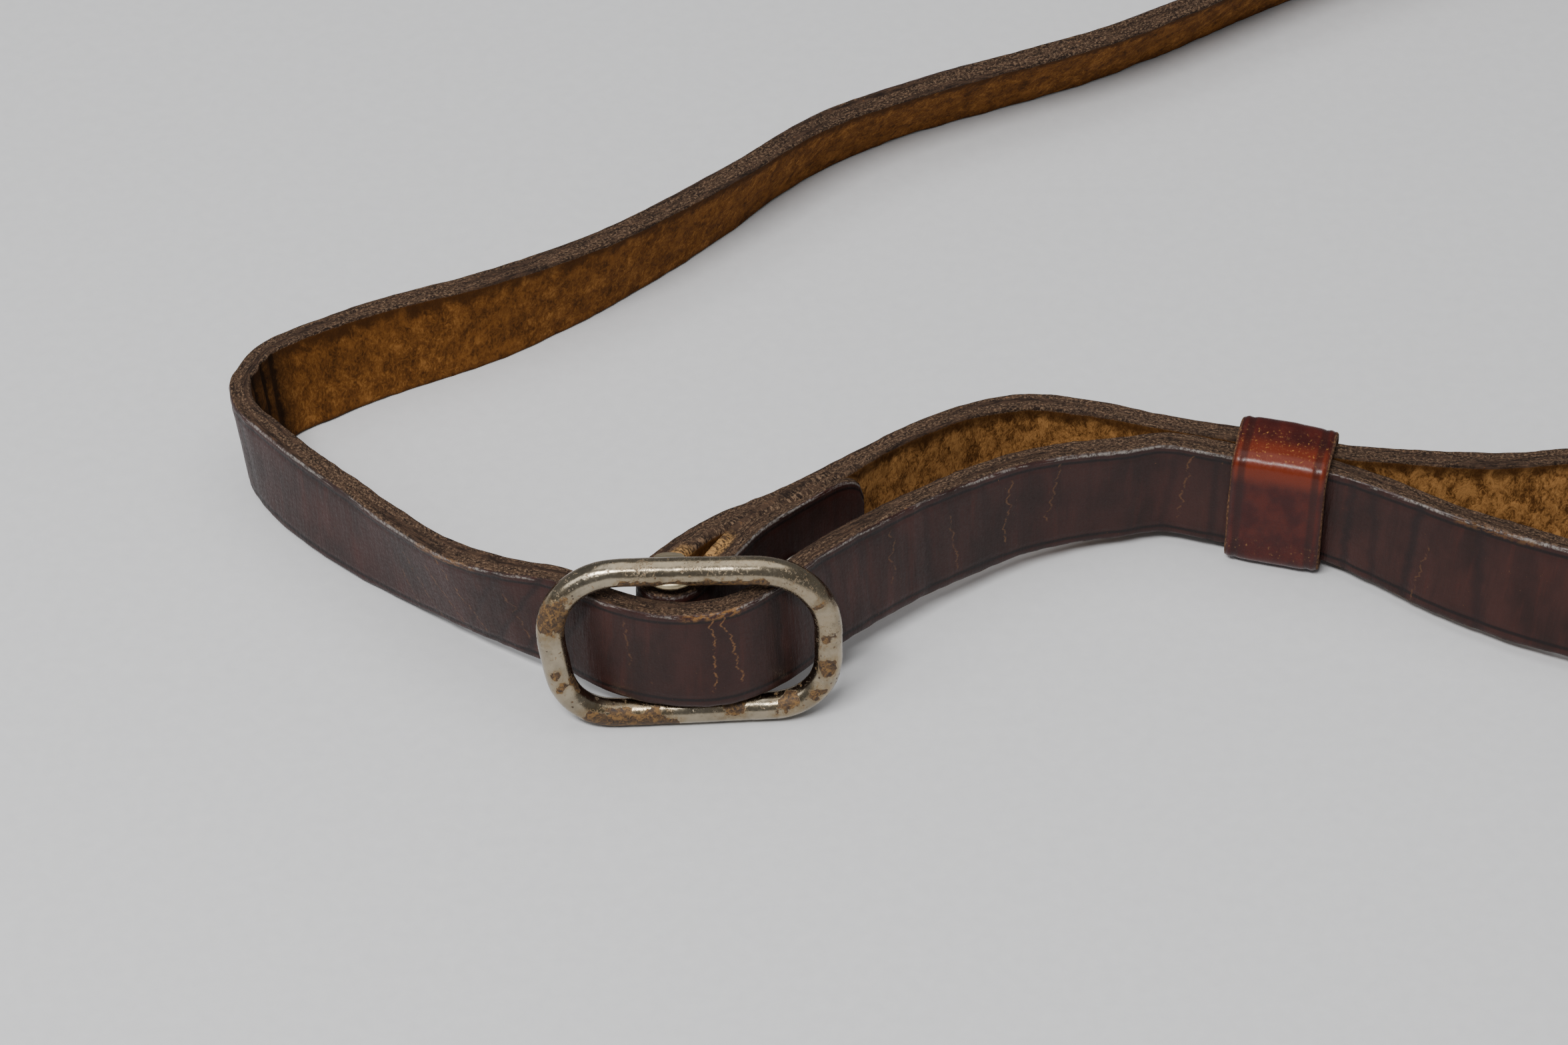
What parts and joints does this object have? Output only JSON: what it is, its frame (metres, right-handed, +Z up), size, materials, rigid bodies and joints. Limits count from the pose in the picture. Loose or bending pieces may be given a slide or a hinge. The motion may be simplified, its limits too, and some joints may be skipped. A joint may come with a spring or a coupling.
{
  "type": "guitar strap",
  "caption": "Narrow leather guitar strap that folds round the bar of a wire slider, doubles back through a keeper and a wire ring, and carries keyhole tabs for strap buttons.",
  "frame": {"origin": "on the ground at the middle of the strap's box, as it stands on its edge", "axes": "+Z up, +X along the slider's long side towards the keeper and ring, +Y away from the slider's front"},
  "size_m": [0.4918, 0.2846, 0.0261],
  "materials": {
    "strap_leather": "satin, worn",
    "keeper_leather": "glossy, worn",
    "tab_leather": "satin",
    "nickelled_steel": "worn nickel with rust",
    "rivet_steel": "tarnished"
  },
  "bodies": {
    "loop": {"loop_run": "strap_leather", "fold_rivet_post": "rivet_steel", "fold_rivet_cap": "rivet_steel"},
    "slider": {"slider_frame": "nickelled_steel", "slider_bar": "nickelled_steel"},
    "keeper": {"keeper_band": "keeper_leather", "keeper_staple": "rivet_steel"},
    "long": {"long_run": "strap_leather"},
    "far": {"far_run": "strap_leather"},
    "end": {"end_run": "strap_leather", "end_tab": "tab_leather", "end_rivet_1_post": "rivet_steel", "end_rivet_1_cap": "rivet_steel", "end_rivet_2_post": "rivet_steel", "end_rivet_2_cap": "rivet_steel"},
    "ring": {"ring": "nickelled_steel"},
    "ring_tab": {"ring_tab": "tab_leather", "ring_tab_rivet_post": "rivet_steel", "ring_tab_rivet_cap": "rivet_steel"}
  },
  "joints": [
    {"name": "slider_swivel", "type": "hinge", "parent": "loop", "child": "slider", "pos_m": [-0.18415, -0.06921, 0.0014], "axis": [-0.0064, 0.1217, 0.9925], "range_deg": [-1.5, 1.5]},
    {"name": "keeper_slide", "type": "slide", "parent": "loop", "child": "keeper", "axis": [0.9681, -0.2504, 0], "range_m": [-0.008, 0.0008]},
    {"name": "ring_swing", "type": "hinge", "parent": "loop", "child": "ring", "pos_m": [0.02614, -0.05398, 0.012], "axis": [0, 0, 1], "range_deg": [-20, 20]},
    {"name": "tab_swing", "type": "hinge", "parent": "ring", "child": "ring_tab", "pos_m": [0.03872, -0.05332, 0.012], "axis": [0, 0, 1], "range_deg": [-30, 30]},
    {"name": "bend_flex", "type": "hinge", "parent": "loop", "child": "long", "pos_m": [-0.24366, -0.02268, 0.008], "axis": [0, 0, 1], "range_deg": [-10, 20]},
    {"name": "run_flex", "type": "hinge", "parent": "long", "child": "far", "pos_m": [-0.03026, 0.11772, 0.008], "axis": [0, 0, 1], "range_deg": [-12, 12]},
    {"name": "end_flex", "type": "hinge", "parent": "far", "child": "end", "pos_m": [0.24214, 0.02002, 0.008], "axis": [0, 0, 1], "range_deg": [-12, 12]}
  ]
}
